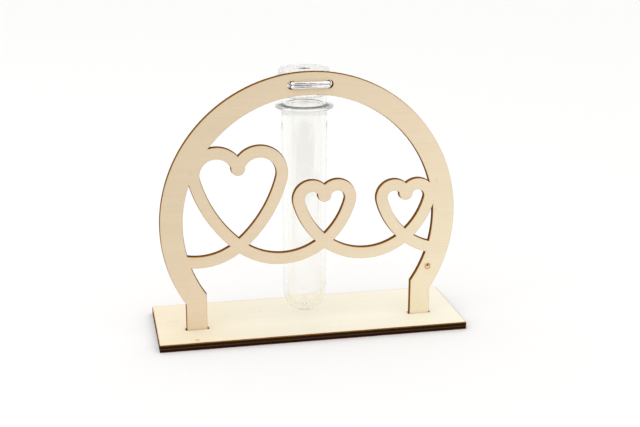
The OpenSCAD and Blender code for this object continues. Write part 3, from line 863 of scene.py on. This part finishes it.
# Uncoated paper, which takes soft shadows and hardly shines, a little unevenly every 25 mm
paper, tree = new_material("matt_white_paper")
place = add(tree, "ShaderNodeTexCoord").outputs["Object"]
uneven = add(tree, "ShaderNodeTexNoise", {"Scale": 40, "Detail": 3}, {"Vector": place}).outputs[0]
paper_rough = add(tree, "ShaderNodeMapRange", {"To Min": 0.7, "To Max": 0.9}, {"Value": uneven}).outputs[0]
sheet = add(tree, "ShaderNodeBsdfPrincipled", {"Base Color": colour("#eeeeee"), "Specular IOR Level": 0.2},
            {"Roughness": paper_rough}).outputs[0]
add(tree, "ShaderNodeOutputMaterial", links={"Surface": sheet})
floor_data.materials.append(paper)

world = bpy.data.worlds.new("soft_room")
world.use_nodes = True
tree = world.node_tree
tree.nodes.clear()
way = add(tree, "ShaderNodeTexCoord").outputs["Generated"]
to_right, to_back, upwards = add(tree, "ShaderNodeSeparateXYZ", links={0: way}).outputs
sideways = add(tree, "ShaderNodeMapRange", {"From Min": -1, "From Max": 1}, {"Value": to_right}).outputs[0]
# A touch cooler on the left, and warmer on the right
room = add(tree, "ShaderNodeValToRGB", {"stops": [(0, colour("#f6f6f7")), (1, colour("#fffefc"))]},
           {0: sideways}).outputs[0]
overhead = add(tree, "ShaderNodeMapRange",
               {"interpolation_type": "SMOOTHSTEP", "From Min": 0.15, "From Max": 0.8,
                "To Min": 0.975, "To Max": 1.26}, {"Value": upwards}).outputs[0]
in_front = add(tree, "ShaderNodeMapRange",
               {"From Min": 1, "From Max": -1, "To Min": 0.92, "To Max": 1.08},
               {"Value": to_back}).outputs[0]
glow = add(tree, "ShaderNodeMath", {"operation": "MULTIPLY"}, {0: overhead, 1: in_front}).outputs[0]
air = add(tree, "ShaderNodeBackground", links={"Color": room, "Strength": glow}).outputs[0]
add(tree, "ShaderNodeOutputWorld", links={"Surface": air})
bpy.context.scene.world = world


def matt_cloth(name, tone):
    """A matt cloth of one tone, which shows only as a dark or pale shape in other things."""
    material, tree = new_material(name)
    surface = add(tree, "ShaderNodeBsdfPrincipled",
                  {"Base Color": colour(tone), "Roughness": 0.9}).outputs[0]
    add(tree, "ShaderNodeOutputMaterial", links={"Surface": surface})
    return material


def card(name, corners, cloth, in_gloss, through_plastic):
    """A flat card beside the object, which shows only in gloss or through clear plastic."""
    data = bpy.data.meshes.new(name)
    data.from_pydata(corners, [], [tuple(range(len(corners)))])
    data.materials.append(cloth)
    hung = placed(name, data)
    hung.visible_camera = hung.visible_diffuse = hung.visible_shadow = False
    hung.visible_glossy, hung.visible_transmission = in_gloss, through_plastic


# A flag in front, below the camera's view: dark in the gloss of the wire and the tube, and
# pale through the plastic, where it greys the tube's middle. It is low and wide, with a
# narrower part that stands up in the middle.
FLAG_AWAY = 0.22
FLAG_TURN = radians(-10.86)
FLAG_X, MIDDLE_X = 0.33, 0.1
FLAG_LOW, SIDE_TOP, MIDDLE_LOW, FLAG_TOP = 0.004, 0.035, 0.055, 0.12
flag_outline = [
    (-FLAG_X, FLAG_LOW), (FLAG_X, FLAG_LOW), (FLAG_X, SIDE_TOP), (MIDDLE_X, MIDDLE_LOW),
    (MIDDLE_X, FLAG_TOP), (-MIDDLE_X, FLAG_TOP), (-MIDDLE_X, MIDDLE_LOW), (-FLAG_X, SIDE_TOP)]
flag_turn = Matrix.Translation((0, TUBE_Y, 0)) @ Matrix.Rotation(FLAG_TURN, 4, "Z")
flag_corners = [flag_turn @ Vector((x, -FLAG_AWAY, z)) for x, z in flag_outline]
felt = matt_cloth("black_felt", "#3c3c3a")
card("dark_flag", flag_corners, felt, in_gloss=True, through_plastic=False)
card("pale_flag", flag_corners, matt_cloth("pale_linen", "#b0b0ae"), in_gloss=False,
     through_plastic=True)

# A dark curtain to the right, which shows in the bright wire
CURTAIN_AT = Vector((0.09, -0.52, 0))
CURTAIN_HALF_W = 0.025
CURTAIN_LOW, CURTAIN_TOP = 0.22, 0.75
curtain_corners = [CURTAIN_AT + Vector((x, 0, z)) for x, z in (
    (-CURTAIN_HALF_W, CURTAIN_LOW), (CURTAIN_HALF_W, CURTAIN_LOW),
    (CURTAIN_HALF_W, CURTAIN_TOP), (-CURTAIN_HALF_W, CURTAIN_TOP))]
card("dark_curtain", curtain_corners, felt, in_gloss=True, through_plastic=True)

LAMP_AT = Vector((-0.75, -0.15, 1.1))
LAMP_AIM = Vector((0, 0, 0.05))
LAMP_SIZE = 0.9
LAMP_POWER = 1.5
lamp_data = bpy.data.lights.new("soft_box", "AREA")
lamp_data.shape = "RECTANGLE"
lamp_data.size = lamp_data.size_y = LAMP_SIZE
lamp_data.energy = LAMP_POWER
lamp = placed("soft_box", lamp_data)
lamp.location = LAMP_AT
lamp.rotation_euler = (LAMP_AIM - LAMP_AT).to_track_quat("-Z", "Y").to_euler()
bpy.context.scene.view_settings.view_transform = "Standard"


# Camera
# It stands where the photograph's camera stood: in front of the object, above it and to
# its left.
CAMERA_AT = (-0.1222, -0.6200, 0.2557)
YAW, PITCH, ROLL = radians(11.84), radians(-16.71), radians(0.15)
PICTURE_W = 640
FOCAL_PIXELS = 1155.4
SENSOR_W = 36
NEAREST, FARTHEST = 0.01, 100
camera_data = bpy.data.cameras.new("camera")
camera_data.sensor_width = SENSOR_W
camera_data.lens = SENSOR_W * FOCAL_PIXELS / PICTURE_W
camera_data.clip_start, camera_data.clip_end = NEAREST, FARTHEST
camera = placed("camera", camera_data)
camera.matrix_world = (Matrix.Translation(CAMERA_AT) @ Matrix.Rotation(-YAW, 4, "Z")
                       @ Matrix.Rotation(pi / 2 + PITCH, 4, "X") @ Matrix.Rotation(ROLL, 4, "Z"))
bpy.context.scene.camera = camera
